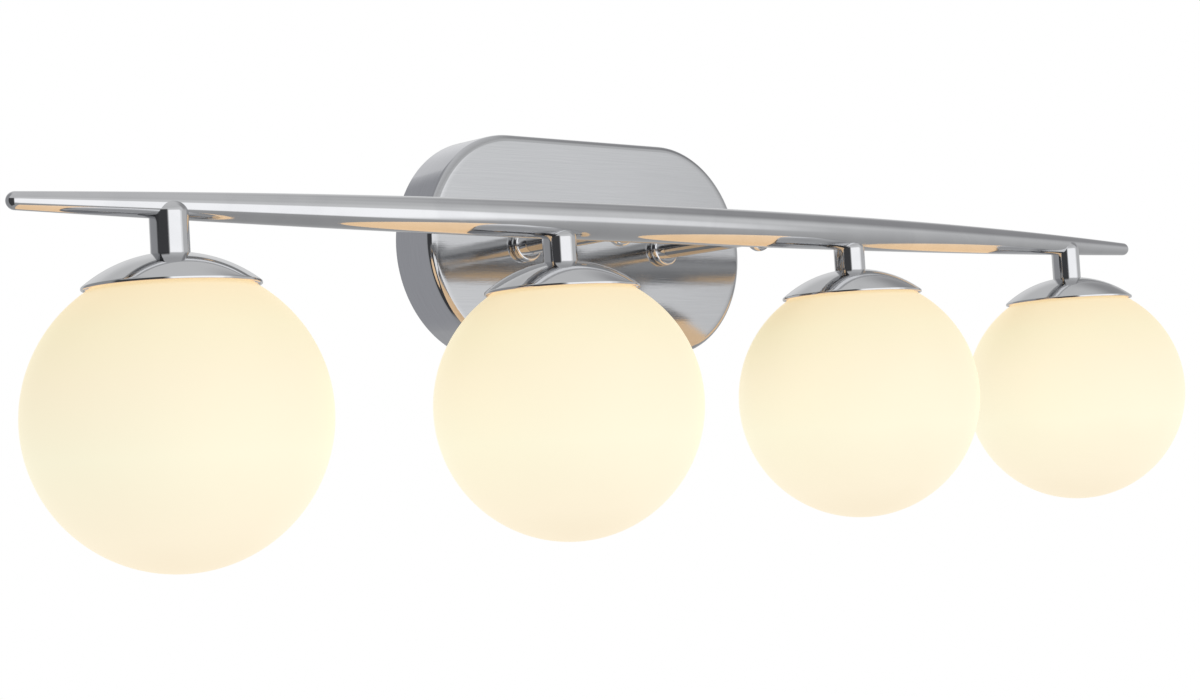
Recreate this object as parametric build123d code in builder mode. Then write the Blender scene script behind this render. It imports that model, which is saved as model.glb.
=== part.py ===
"""Four-light vanity bar: a backplate on the wall carries a bowed bar on two short arms, and four
glass globes hang from the bar on short stems.

Millimetres. The origin is the middle of the backplate on the wall face. +X runs along the bar,
+Y goes into the wall and +Z is up, so everything stands in front of the wall, at negative Y.
"""
from build123d import *
import os
from math import asin, cos, pi, sin, sqrt

os.makedirs("parts", exist_ok=True)

# Driving dimensions.
bar_length = 600.0
bar_reach = 91.0            # wall to the bar's axis at its middle
bar_bow_radius = 3900.0     # the bar curves gently back towards the wall at its ends
bar_mid_radius = 7.4
bar_tip_radius = 2.95
bar_taper_power = 2.15      # how late the taper sets in
tube_wall = 1.0

lamp_count = 4
lamp_pitch = 163.0
lamp_drop = 68.8            # bar axis to globe centre
globe_radius = 50.0
glass_wall = 2.7
mouth_radius = 16.4
neck_depth = 10.2

plate_length = 175.0
plate_height = 90.0
plate_depth = 22.0
plate_edge_radius = 3.0
sheet = 1.0                 # pressed steel of the backplate

arm_spacing = 78.0
arm_radius = 4.25
arm_bore = 2.9
ring_radius = 7.2
ring_thickness = 3.2
ring_standoff = 76.8        # wall to the outer ring's near face

stem_radius = 6.4
stem_bore = 3.6
stem_tops = (1.6, -3.0, -3.0, 1.6)      # height of each stem's top from the bar's axis
stem_crown = 4.2            # rounding of a stem's top edge
nipple_radius = 4.95        # M10 x 1 threaded tube
nipple_hole = 5.05

cap_radius = 29.0
cap_top = -15.2             # heights from here on are measured from the bar's axis
cap_rim = -26.6
cap_lip = 0.9               # height of the plain upright edge under the dome
cap_sheet = 0.8

bracket_sheet = 1.5
slot_spacing = 100.0
slot_length = 14.0
slot_width = 4.6
wire_radius = 0.8
wire_offset = 1.2           # half the distance between the two conductors

# Worked-out places.
globe_centre = -lamp_drop
bar_half = bar_length / 2 - bar_tip_radius
bow_centre_y = -bar_reach + bar_bow_radius
lamp_places = [lamp_pitch * (number - (lamp_count - 1) / 2) for number in range(lamp_count)]
arm_places = {"left": -arm_spacing / 2, "right": arm_spacing / 2}


def write(node, name):
    """Label one finished piece and write it to its own file."""
    node.part.label = name
    export_step(node.part, f"parts/{name}.step")


def bow_y(x):
    """Y of the bar's axis at a place along its length."""
    return bow_centre_y - sqrt(bar_bow_radius**2 - x**2)


def bar_plane(x, outward=1):
    """Plane square to the bar's axis at x, with its normal along the bar."""
    turn = asin(x / bar_bow_radius)
    along = (outward * cos(turn), outward * sin(turn), 0)
    return Plane(origin=(x, bow_y(x), 0), x_dir=(0, 0, 1), z_dir=along)


def bar_radius(x):
    """Outer radius of the bar: full in the middle, falling ever faster towards the tips."""
    return bar_mid_radius - (bar_mid_radius - bar_tip_radius) * (abs(x) / bar_half) ** bar_taper_power


def bar_body(inset=0.0):
    """The bar's tapered, bowed form, or the hollow inside it when inset by the tube's wall."""
    section_count = 17
    with BuildPart() as body:
        for index in range(section_count):
            x = bar_half * (2 * index / (section_count - 1) - 1)
            with BuildSketch(bar_plane(x)):
                Circle(bar_radius(x) - inset)
        loft()
    return body.part


def lamp_plane(x, height):
    """Level plane on a lamp's vertical axis."""
    return Plane(origin=(x, bow_y(x), height), z_dir=(0, 0, 1))


def lamp_section(x):
    """Upright plane through a lamp's axis, for turned pieces; its Y is height above the bar's axis."""
    return Plane(origin=(x, bow_y(x), 0), x_dir=(1, 0, 0), z_dir=(0, -1, 0))


def lamp_axis(x):
    return Axis((x, bow_y(x), 0), (0, 0, 1))


# Wall bracket: a steel strap screwed to the wall through two slots. Tabs bent forward at its top
# and bottom take the grub screws that hold the backplate.
bracket_length = 140.0
bracket_height = 28.0
tab_width = 18.0
tab_reach = 43.5
tab_depth = 13.0
tab_screw_y = -8.0
bush_hole = 9.0
earth_screw_x = 24.0
screw_core = 2.0
block_height = 24.0

with BuildPart() as wall_bracket:
    with BuildSketch(Plane.XZ):
        RectangleRounded(bracket_length, bracket_height, 6)
        Rectangle(tab_width, 2 * tab_reach)
        Circle(bush_hole, mode=Mode.SUBTRACT)
        with Locations((-slot_spacing / 2, 0), (slot_spacing / 2, 0)):
            SlotOverall(slot_length, slot_width, mode=Mode.SUBTRACT)
        with Locations((earth_screw_x, 0), (0, block_height)):
            Circle(screw_core, mode=Mode.SUBTRACT)
    extrude(amount=bracket_sheet)
    for side in (-1, 1):
        with BuildSketch(Plane.XY.offset(side * tab_reach)):
            with Locations((0, -tab_depth / 2)):
                Rectangle(tab_width, tab_depth)
            with Locations((0, tab_screw_y)):
                Circle(screw_core, mode=Mode.SUBTRACT)
        extrude(amount=-side * bracket_sheet)
write(wall_bracket, "wall_bracket")

# Cable bush: a plastic sleeve that lines the cable's way in through the bracket.
bush_bore = 4.5
bush_flange = 11.5
bush_length = 3.5
with BuildPart() as cable_bush:
    with BuildSketch(Plane.XZ.offset(bracket_sheet)):
        Circle(bush_flange)
    extrude(amount=bush_length - bracket_sheet)
    with BuildSketch(Plane.XZ):
        Circle(bush_hole)
    extrude(amount=bracket_sheet)
    with BuildSketch(Plane.XZ):
        Circle(bush_bore)
    extrude(amount=bush_length, mode=Mode.SUBTRACT)
write(cable_bush, "cable_bush")

# Earth screw: a slotted pan head on a square clamp washer.
with BuildPart() as earth_screw:
    with BuildSketch(Plane.XZ):
        with Locations((earth_screw_x, 0)):
            Circle(screw_core)
    extrude(amount=bracket_sheet)
    with BuildSketch(Plane.XZ.offset(bracket_sheet)):
        with Locations((earth_screw_x, 0)):
            Rectangle(9, 9)
    extrude(amount=1.0)
    with BuildSketch(Plane.XZ.offset(bracket_sheet + 1.0)):
        with Locations((earth_screw_x, 0)):
            Circle(3.6)
    extrude(amount=2.4)
    with BuildSketch(Plane.XZ.offset(bracket_sheet + 2.4)):
        with Locations((earth_screw_x, 0)):
            Rectangle(8, 0.9)
    extrude(amount=1.0, mode=Mode.SUBTRACT)
write(earth_screw, "earth_screw")

# Terminal block: three poles side by side in a plastic strip on the bracket's upper tab. A brass
# sleeve in each pole is closed on the wires by a screw at either end.
pole_places = [-10.0, 0.0, 10.0]
block_back = bracket_sheet
block_front = 15.5
block_size_z = 16.0
sleeve_y = -9.5
sleeve_radius = 2.2
sleeve_bore = 1.4
clamp_screw_radius = 1.3
clamp_screw_rise = 4.6

with BuildPart() as terminal_block:
    with BuildSketch(Plane.XZ.offset(block_back)):
        with Locations((0, block_height)):
            Rectangle(30, 10)
    extrude(amount=4.0)
    for pole in pole_places:
        with BuildSketch(Plane.XZ.offset(block_back + 4.0)):
            with Locations((pole, block_height)):
                Rectangle(9.4, block_size_z)
        extrude(amount=block_front - block_back - 4.0)
    with BuildSketch(Plane.XY.offset(block_height - block_size_z / 2)):
        with Locations(*[(pole, sleeve_y) for pole in pole_places]):
            Circle(sleeve_radius)
    extrude(amount=block_size_z, mode=Mode.SUBTRACT)
    with BuildSketch(Plane.XZ.offset(-sleeve_y)):
        for pole in pole_places:
            with Locations((pole, block_height - clamp_screw_rise), (pole, block_height + clamp_screw_rise)):
                Circle(clamp_screw_radius + 0.4)
    extrude(amount=block_front + sleeve_y, mode=Mode.SUBTRACT)
    with BuildSketch(Plane.XZ.offset(block_back)):
        with Locations((0, block_height)):
            Circle(screw_core)
    extrude(amount=4.0, mode=Mode.SUBTRACT)
write(terminal_block, "terminal_block")

with BuildPart() as terminal_sleeves:
    with BuildSketch(Plane.XY.offset(block_height - block_size_z / 2 + 1)):
        with Locations(*[(pole, sleeve_y) for pole in pole_places]):
            Circle(sleeve_radius)
            Circle(sleeve_bore, mode=Mode.SUBTRACT)
    extrude(amount=block_size_z - 2)
    with BuildSketch(Plane.XZ.offset(-sleeve_y)):
        for pole in pole_places:
            with Locations((pole, block_height - clamp_screw_rise), (pole, block_height + clamp_screw_rise)):
                Circle(clamp_screw_radius)
    extrude(amount=sleeve_radius + 1, mode=Mode.SUBTRACT)
write(terminal_sleeves, "terminal_sleeves")

with BuildPart() as terminal_screws:
    for pole in pole_places:
        for rise in (-clamp_screw_rise, clamp_screw_rise):
            with BuildSketch(Plane.XZ.offset(-sleeve_y + 0.9)):
                with Locations((pole, block_height + rise)):
                    Circle(clamp_screw_radius)
            extrude(amount=4.4)
            with BuildSketch(Plane.XZ.offset(-sleeve_y + 4.6)):
                with Locations((pole, block_height + rise)):
                    Rectangle(3, 0.5)
            extrude(amount=1.0, mode=Mode.SUBTRACT)
write(terminal_screws, "terminal_screws")

# Backplate: a deep-drawn shell, straight-sided with full round ends and a rolled front edge.
with BuildPart() as backplate:
    with BuildSketch(Plane.XZ):
        SlotOverall(plate_length, plate_height)
    extrude(amount=plate_depth)
    fillet(backplate.faces().sort_by(Axis.Y)[0].edges(), plate_edge_radius)
    with BuildPart(mode=Mode.PRIVATE) as plate_inside:
        with BuildSketch(Plane.XZ):
            SlotOverall(plate_length - 2 * sheet, plate_height - 2 * sheet)
        extrude(amount=plate_depth - sheet)
        fillet(plate_inside.faces().sort_by(Axis.Y)[0].edges(), plate_edge_radius - sheet)
    add(plate_inside.part, mode=Mode.SUBTRACT)
    with BuildSketch(Plane.XZ.offset(plate_depth - 2 * sheet)):
        with Locations(*[(x, 0) for x in arm_places.values()]):
            Circle(arm_radius + 0.05)
    extrude(amount=3 * sheet, mode=Mode.SUBTRACT)
    with BuildSketch(Plane.XY.offset(-plate_height / 2)):
        with Locations((0, tab_screw_y)):
            Circle(screw_core + 0.2)
    extrude(amount=plate_height, mode=Mode.SUBTRACT)
write(backplate, "backplate")

# Grub screws that hold the backplate to the bracket's tabs, flush with its top and bottom edges.
grub_length = 9.0
with BuildPart() as cover_screws:
    for side in (-1, 1):
        with BuildSketch(Plane.XY.offset(side * plate_height / 2)):
            with Locations((0, tab_screw_y)):
                Circle(screw_core)
        extrude(amount=-side * grub_length)
        with BuildSketch(Plane.XY.offset(side * plate_height / 2)):
            with Locations((0, tab_screw_y)):
                Rectangle(5, 0.7)
        extrude(amount=-side * 1.2, mode=Mode.SUBTRACT)
write(cover_screws, "cover_screws")

# Bar: one drawn tube, thickest in the middle. Its underside is drilled for the stems' wires and
# its back for the arms' wires.
bar_form = bar_body()
bar_hollow = bar_body(tube_wall)
wire_hole = 2.6
with BuildPart() as bar_tube:
    add(bar_form)
    add(bar_hollow, mode=Mode.SUBTRACT)
    for x in lamp_places:
        with BuildSketch(lamp_plane(x, 0)):
            Circle(wire_hole)
        extrude(amount=-2 * bar_mid_radius, mode=Mode.SUBTRACT)
    with BuildSketch(Plane.XZ.offset(bar_reach)):
        with Locations(*[(x, 0) for x in arm_places.values()]):
            Circle(wire_hole)
    extrude(amount=-2 * bar_mid_radius, mode=Mode.SUBTRACT)
write(bar_tube, "bar_tube")

# Bar ends: domed plugs pressed into the tube.
plug_length = 9.0
plug_radius = bar_tip_radius - tube_wall - 0.02
for name, side in (("left", -1), ("right", 1)):
    with BuildPart(bar_plane(side * bar_half, side)) as bar_end:
        Sphere(bar_tip_radius, arc_size1=0, align=(Align.CENTER, Align.CENTER, Align.MIN))
        Cylinder(plug_radius, plug_length, align=(Align.CENTER, Align.CENTER, Align.MAX))
    write(bar_end, f"bar_end_{name}")

# Arms: plain tubes square to the wall, brazed to the back of the bar. A turned ring clamps each
# one to the backplate, and a second ring dresses its outer end.
arm_back = 13.0
nut_height = 4.0
washer_height = 0.8
for name, x in arm_places.items():
    with BuildPart() as arm:
        with BuildSketch(Plane.XZ.offset(arm_back)):
            with Locations((x, 0)):
                Circle(arm_radius)
                Circle(arm_bore, mode=Mode.SUBTRACT)
        extrude(amount=bar_reach - arm_back)
        add(bar_form, mode=Mode.SUBTRACT)
    write(arm, f"arm_{name}")
    for place, start in (("inner", plate_depth), ("outer", ring_standoff)):
        with BuildPart() as ring:
            with BuildSketch(Plane.XZ.offset(start)):
                with Locations((x, 0)):
                    Circle(ring_radius)
            extrude(amount=ring_thickness)
            fillet(ring.edges(), 1.1)
            with BuildSketch(Plane.XZ.offset(start)):
                with Locations((x, 0)):
                    Circle(arm_radius)
            extrude(amount=ring_thickness, mode=Mode.SUBTRACT)
        write(ring, f"arm_ring_{place}_{name}")

with BuildPart() as arm_washers:
    with BuildSketch(Plane.XZ.offset(plate_depth - sheet - washer_height)):
        with Locations(*[(x, 0) for x in arm_places.values()]):
            Circle(8.0)
            Circle(arm_radius + 0.1, mode=Mode.SUBTRACT)
    extrude(amount=washer_height)
write(arm_washers, "arm_washers")

with BuildPart() as arm_nuts:
    with BuildSketch(Plane.XZ.offset(plate_depth - sheet - washer_height - nut_height)):
        with Locations(*[(x, 0) for x in arm_places.values()]):
            RegularPolygon(6.5, 6, major_radius=False)
            Circle(arm_radius, mode=Mode.SUBTRACT)
    extrude(amount=nut_height)
write(arm_nuts, "arm_nuts")

# Pieces of each lamp, from the bar down. The cap is part of a spun dome with an upright lip.
cap_height = cap_top - cap_rim - cap_lip
dome_radius = (cap_radius**2 + cap_height**2) / (2 * cap_height)
dome_centre = cap_top - dome_radius
dome_inside = dome_radius - cap_sheet


def dome_height(radius, distance):
    """Height of a dome surface of the given radius at a distance from the lamp's axis."""
    return dome_centre + sqrt(radius**2 - distance**2)


spacer_radius = 9.0
spacer_top = dome_height(dome_inside, spacer_radius)
spacer_height = 2.2
holder_top = spacer_top - spacer_height
holder_radius = 15.4
holder_wall = 1.8
holder_roof = 1.4
holder_length = 17.8
thread_height = 0.5
thread_pitch = 3.0
strap_sheet = 0.8
strap_width = 7.0
strap_inside = 10.6
strap_length = 12.0
strap_top = holder_top - holder_roof
nipple_nut_height = 3.0
nipple_bottom = strap_top - strap_sheet - nipple_nut_height - 0.6
nipple_socket = 7.0
gasket_inner = 18.0
gasket_outer = 22.4
gasket_thickness = 1.4

socket_radius = 10.5
socket_top = nipple_bottom - 0.8
socket_length = 16.0
socket_bottom = socket_top - socket_length
pin_spacing = 9.0
pocket_radius = 1.6
pocket_depth = 10.0
pin_radius = 0.6
pin_length = 7.0
holder_screw_height = socket_top - 4.5
holder_screw_core = 1.45

bulb_top = socket_bottom - 1.0
pinch_length = 13.0
bulb_radius = 7.0
bulb_wall = 1.0
bulb_length = 43.0
filament_height = bulb_top - 30.0

neck_outer = mouth_radius + 3.2
shell_inside = globe_radius - glass_wall
mouth_top = sqrt(globe_radius**2 - mouth_radius**2)
neck_bottom = mouth_top - neck_depth
neck_root = sqrt(shell_inside**2 - neck_outer**2)

for number, x in enumerate(lamp_places, start=1):
    axis = lamp_axis(x)

    # Stem: a short tube with a rounded top, coped round the bar and shaped to the cap below.
    with BuildPart() as stem:
        with BuildSketch(lamp_plane(x, cap_top - 1)):
            Circle(stem_radius)
        extrude(amount=stem_tops[number - 1] - cap_top + 1)
        fillet(stem.edges().sort_by(Axis.Z)[-1], stem_crown)
        with BuildSketch(lamp_plane(x, cap_top - 1)):
            Circle(stem_bore)
        extrude(amount=1 - cap_top, mode=Mode.SUBTRACT)
        with BuildSketch(lamp_plane(x, cap_top - 1)):
            Circle(nipple_hole)
        extrude(amount=1 + nipple_socket, mode=Mode.SUBTRACT)
        add(bar_form, mode=Mode.SUBTRACT)
        with Locations(lamp_plane(x, dome_centre)):
            Sphere(dome_radius, mode=Mode.SUBTRACT)
    write(stem, f"stem_{number}")

    # Cap: a spun dome, its edge turned down in a narrow lip that stays just clear of the glass.
    with BuildPart() as cap:
        with BuildSketch(lamp_section(x)):
            with BuildLine():
                edge_radius = cap_radius - cap_sheet
                dome_foot = (cap_radius, cap_rim + cap_lip)
                inside_foot = (edge_radius, dome_height(dome_inside, edge_radius))
                outer_start = (nipple_hole, dome_height(dome_radius, nipple_hole))
                inner_start = (nipple_hole, dome_height(dome_inside, nipple_hole))
                middle = cap_radius * 0.55
                Line(inner_start, outer_start)
                ThreePointArc(outer_start, (middle, dome_height(dome_radius, middle)), dome_foot)
                Polyline(dome_foot, (cap_radius, cap_rim), (edge_radius, cap_rim), inside_foot)
                ThreePointArc(inside_foot, (middle, dome_height(dome_inside, middle)), inner_start)
            make_face()
        revolve(axis=axis)
    write(cap, f"cap_{number}")

    # Gasket: a silicone ring stuck inside the cap, which the glass's shoulder closes on.
    with BuildPart() as gasket:
        gasket_under = dome_inside - gasket_thickness
        with BuildSketch(lamp_section(x)):
            with BuildLine():
                middle = (gasket_inner + gasket_outer) / 2
                corners = [
                    (edge, dome_height(radius, edge))
                    for radius, edge in (
                        (dome_inside, gasket_inner),
                        (dome_inside, gasket_outer),
                        (gasket_under, gasket_outer),
                        (gasket_under, gasket_inner),
                    )
                ]
                ThreePointArc(corners[0], (middle, dome_height(dome_inside, middle)), corners[1])
                Line(corners[1], corners[2])
                ThreePointArc(corners[2], (middle, dome_height(gasket_under, middle)), corners[3])
                Line(corners[3], corners[0])
            make_face()
        revolve(axis=axis)
    write(gasket, f"gasket_{number}")

    # Globe holder: an aluminium cup under the cap, threaded outside for the glass.
    with BuildPart() as globe_holder:
        with BuildSketch(lamp_plane(x, holder_top)):
            Circle(holder_radius)
        extrude(amount=-holder_length)
        with BuildSketch(lamp_plane(x, strap_top)):
            Circle(holder_radius - holder_wall)
        extrude(amount=-holder_length, mode=Mode.SUBTRACT)
        with BuildSketch(lamp_plane(x, holder_top)):
            Circle(nipple_hole)
        extrude(amount=-holder_roof, mode=Mode.SUBTRACT)
        with BuildSketch(lamp_section(x)):
            for turn in range(1, 5):
                height = holder_top - 1.5 - turn * thread_pitch
                with BuildLine():
                    Polyline(
                        (holder_radius - 0.3, height - 0.9),
                        (holder_radius + thread_height, height - 0.2),
                        (holder_radius + thread_height, height + 0.2),
                        (holder_radius - 0.3, height + 0.9),
                        close=True,
                    )
                make_face()
        revolve(axis=axis)
    write(globe_holder, f"globe_holder_{number}")

    # Bulb socket: a porcelain body with two pockets in its face for the bulb's pins.
    with BuildPart() as bulb_socket:
        with BuildSketch(lamp_plane(x, socket_top)):
            Circle(socket_radius)
        extrude(amount=-socket_length)
        fillet(bulb_socket.edges().filter_by(GeomType.CIRCLE), 0.8)
        with BuildSketch(lamp_plane(x, socket_bottom)):
            with Locations((-pin_spacing / 2, 0), (pin_spacing / 2, 0)):
                Circle(pocket_radius)
        extrude(amount=pocket_depth, mode=Mode.SUBTRACT)
        with BuildSketch(Plane(origin=(x, bow_y(x), holder_screw_height), x_dir=(1, 0, 0), z_dir=(0, 1, 0))):
            Circle(holder_screw_core + 0.05)
        extrude(amount=socket_radius, both=True, mode=Mode.SUBTRACT)
        with BuildSketch(Plane(origin=(x, bow_y(x), holder_screw_height), x_dir=(1, 0, 0), z_dir=(0, 1, 0))):
            Circle(holder_screw_core + 0.05)
        extrude(amount=5.0, both=True)
    write(bulb_socket, f"bulb_socket_{number}")

    # Bulb: a glass capsule pinched flat at the top, where its two pins come out. The pins' wires
    # run on inside and carry the filament.
    with BuildPart() as bulb_glass:
        with BuildSketch(lamp_plane(x, bulb_top)):
            RectangleRounded(pin_spacing + 4.0, 4.4, 1.5)
        extrude(amount=-pinch_length)
        with BuildSketch(lamp_plane(x, bulb_top - pinch_length)):
            Circle(bulb_radius)
        extrude(amount=-(bulb_length - pinch_length - bulb_radius))
        with Locations(lamp_plane(x, bulb_top - bulb_length + bulb_radius)):
            Sphere(bulb_radius)
        with BuildSketch(lamp_plane(x, bulb_top - pinch_length - bulb_wall)):
            Circle(bulb_radius - bulb_wall)
        extrude(amount=-(bulb_length - pinch_length - bulb_radius - bulb_wall), mode=Mode.SUBTRACT)
        with Locations(lamp_plane(x, bulb_top - bulb_length + bulb_radius)):
            Sphere(bulb_radius - bulb_wall, mode=Mode.SUBTRACT)
        with BuildSketch(lamp_plane(x, bulb_top)):
            with Locations((-pin_spacing / 2, 0), (pin_spacing / 2, 0)):
                Circle(pin_radius)
        extrude(amount=-pinch_length - bulb_wall, mode=Mode.SUBTRACT)
    write(bulb_glass, f"bulb_glass_{number}")

    with BuildPart() as bulb_pins:
        with BuildSketch(lamp_plane(x, bulb_top + pin_length)):
            with Locations((-pin_spacing / 2, 0), (pin_spacing / 2, 0)):
                Circle(pin_radius)
        extrude(amount=filament_height - bulb_top - pin_length)
        with BuildSketch(Plane(origin=(x, bow_y(x), filament_height), x_dir=(0, 1, 0), z_dir=(1, 0, 0))):
            Circle(0.9)
        extrude(amount=pin_spacing / 2 + pin_radius, both=True)
    write(bulb_pins, f"bulb_pins_{number}")

    # Globe: a blown opal sphere with its mouth turned inwards at the top. The mouth's moulded
    # thread is left out, so that the globe slides straight down off the holder's rings.
    with BuildPart() as globe:
        with BuildSketch(lamp_section(x)):
            with BuildLine():
                lift = globe_centre
                mouth_edge = (mouth_radius, lift + mouth_top)
                Line((mouth_radius, lift + neck_bottom), mouth_edge)
                ThreePointArc(mouth_edge, (globe_radius, lift), (0, lift - globe_radius))
                Line((0, lift - globe_radius), (0, lift - shell_inside))
                ThreePointArc((0, lift - shell_inside), (shell_inside, lift), (neck_outer, lift + neck_root))
                Line((neck_outer, lift + neck_root), (neck_outer, lift + neck_bottom))
                Line((neck_outer, lift + neck_bottom), (mouth_radius, lift + neck_bottom))
            make_face()
        revolve(axis=axis)
    write(globe, f"globe_{number}")


# Small parts that are the same on every lamp share a file each.
with BuildPart() as nipples:
    for x in lamp_places:
        with BuildSketch(lamp_plane(x, nipple_bottom)):
            Circle(nipple_radius)
            Circle(stem_bore, mode=Mode.SUBTRACT)
        extrude(amount=cap_top + nipple_socket - 0.2 - nipple_bottom)
write(nipples, "nipples")

with BuildPart() as spacers:
    for x in lamp_places:
        with BuildSketch(lamp_plane(x, holder_top)):
            Circle(spacer_radius)
            Circle(nipple_hole, mode=Mode.SUBTRACT)
        extrude(amount=spacer_height)
write(spacers, "spacers")

with BuildPart() as nipple_nuts:
    for x in lamp_places:
        with BuildSketch(lamp_plane(x, strap_top - strap_sheet - nipple_nut_height)):
            RegularPolygon(7.0, 6, major_radius=False)
            Circle(nipple_radius, mode=Mode.SUBTRACT)
        extrude(amount=nipple_nut_height)
write(nipple_nuts, "nipple_nuts")

with BuildPart() as socket_straps:
    for x in lamp_places:
        with BuildSketch(lamp_plane(x, strap_top)):
            Rectangle(strap_width, 2 * (strap_inside + strap_sheet))
            Circle(6.5)
            Circle(nipple_hole, mode=Mode.SUBTRACT)
        extrude(amount=-strap_sheet)
        for side in (-1, 1):
            with BuildSketch(lamp_plane(x, strap_top)):
                with Locations((0, side * (strap_inside + strap_sheet / 2))):
                    Rectangle(strap_width, strap_sheet)
            extrude(amount=-strap_length)
        with BuildSketch(Plane(origin=(x, bow_y(x), holder_screw_height), x_dir=(1, 0, 0), z_dir=(0, 1, 0))):
            Circle(holder_screw_core + 0.05)
        extrude(amount=2 * socket_radius, both=True, mode=Mode.SUBTRACT)
write(socket_straps, "socket_straps")

with BuildPart() as socket_screws:
    for x in lamp_places:
        for side in (-1, 1):
            start = bow_y(x) + side * (strap_inside + strap_sheet)
            face = Plane(origin=(x, start, holder_screw_height), x_dir=(1, 0, 0), z_dir=(0, side, 0))
            with BuildSketch(face):
                Circle(holder_screw_core)
            extrude(amount=-6.0)
            with BuildSketch(face):
                Circle(2.6)
            extrude(amount=1.6)
            with BuildSketch(face.offset(1.0)):
                Rectangle(6, 0.6)
            extrude(amount=1.0, mode=Mode.SUBTRACT)
write(socket_screws, "socket_screws")

with BuildPart() as socket_contacts:
    for x in lamp_places:
        for side in (-1, 1):
            with BuildSketch(lamp_plane(x, socket_bottom + 1.0)):
                with Locations((side * pin_spacing / 2, 0)):
                    Circle(pocket_radius - 0.1)
                    Circle(pin_radius + 0.15, mode=Mode.SUBTRACT)
            extrude(amount=pocket_depth - 1.5)
write(socket_contacts, "socket_contacts")

# Wiring: two insulated conductors from the terminal block through the left arm, along the bar,
# and down each stem to its socket.
with BuildPart() as feed_wires:
    for height, pole in ((wire_offset, pole_places[0]), (-wire_offset, pole_places[1])):
        start = (arm_places["left"], wire_radius + 0.4 - bar_reach, height)
        with BuildLine():
            FilletPolyline(
                start,
                (arm_places["left"], sleeve_y, height),
                (pole, sleeve_y, height),
                (pole, sleeve_y, block_height - block_size_z / 2 + 0.9),
                radius=5.0,
            )
        with BuildSketch(Plane(origin=start, z_dir=(0, 1, 0))):
            Circle(wire_radius)
        sweep()
write(feed_wires, "feed_wires")

with BuildPart() as bar_wires:
    last_x = lamp_places[-1]
    last_y = bow_y(last_x)
    for height in (-1.0, 1.0):
        with BuildLine():
            ThreePointArc((-last_x, last_y, height), (0, -bar_reach, height), (last_x, last_y, height))
        with BuildSketch(Plane(origin=(-last_x, last_y, height), z_dir=bar_plane(-last_x).z_dir)):
            Circle(wire_radius)
        sweep()
write(bar_wires, "bar_wires")

with BuildPart() as stem_wires:
    for x in lamp_places:
        with BuildSketch(lamp_plane(x, -wire_offset - wire_radius)):
            with Locations((-wire_offset, 0), (wire_offset, 0)):
                Circle(wire_radius)
        extrude(amount=socket_top + wire_offset + wire_radius)
write(stem_wires, "stem_wires")
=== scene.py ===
from math import acos, asin, cos, pi, radians, sin, sqrt

import bmesh
import bpy
from mathutils import Matrix, Vector


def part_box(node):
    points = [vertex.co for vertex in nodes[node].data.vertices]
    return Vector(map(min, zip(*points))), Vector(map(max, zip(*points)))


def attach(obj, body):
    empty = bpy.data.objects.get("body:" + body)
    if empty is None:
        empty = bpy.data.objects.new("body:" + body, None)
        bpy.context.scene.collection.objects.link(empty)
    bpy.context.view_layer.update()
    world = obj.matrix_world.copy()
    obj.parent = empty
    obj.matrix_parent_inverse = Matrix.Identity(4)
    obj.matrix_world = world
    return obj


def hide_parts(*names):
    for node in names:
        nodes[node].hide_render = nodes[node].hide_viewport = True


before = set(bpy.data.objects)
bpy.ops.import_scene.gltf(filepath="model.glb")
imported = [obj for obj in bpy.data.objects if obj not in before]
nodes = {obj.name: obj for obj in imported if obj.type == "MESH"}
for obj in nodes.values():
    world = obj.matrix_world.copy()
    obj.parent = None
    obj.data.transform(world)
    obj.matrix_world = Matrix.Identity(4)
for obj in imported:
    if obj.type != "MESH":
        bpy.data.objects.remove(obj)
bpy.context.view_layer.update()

# ---------------------------------------------------------------------------------------------
# Wall bracket, arm washers and arm nuts. Strap and washers are pressed from cold-rolled steel and
# the nuts are turned; all are bright zinc plated, so a pale crystal bloom lies over rolling lines.


def add_node(tree, kind, inputs=None, **settings):
    """A shader node with its settings made; an input takes a value or another node's output."""
    made = tree.nodes.new("ShaderNode" + kind)
    for key, value in settings.items():
        setattr(made, key, value)
    for key, value in (inputs or {}).items():
        if isinstance(value, bpy.types.NodeSocket):
            tree.links.new(value, made.inputs[key])
        else:
            made.inputs[key].default_value = value
    return made


def shader_group(name, inputs, outputs):
    """An empty node group with float inputs and their usual values, and named outputs."""
    group = bpy.data.node_groups.new(name, "ShaderNodeTree")
    for socket, (kind, usual) in inputs.items():
        group.interface.new_socket(name=socket, in_out="INPUT", socket_type=kind).default_value = usual
    for socket, kind in outputs.items():
        group.interface.new_socket(name=socket, in_out="OUTPUT", socket_type=kind)
    return group, group.nodes.new("NodeGroupInput"), group.nodes.new("NodeGroupOutput")


def place_group(tree, group, **values):
    """Put a group in a material and set its inputs."""
    made = tree.nodes.new("ShaderNodeGroup")
    made.node_tree = group
    for key, value in values.items():
        made.inputs[key].default_value = value
    return made


def new_material(name):
    """A material with its Principled shader wired to the output; returns the tree and the shader."""
    material = bpy.data.materials.new(name)
    material.use_nodes = True
    return material, material.node_tree, material.node_tree.nodes["Principled BSDF"]


def wire(tree, output, socket):
    """Link one shader node to another."""
    tree.links.new(output, socket)


def finish_with(material, *names):
    """Give CAD nodes that keep their shape a finish."""
    for name in names:
        for slot in nodes[name].material_slots:
            slot.material = material


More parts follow.
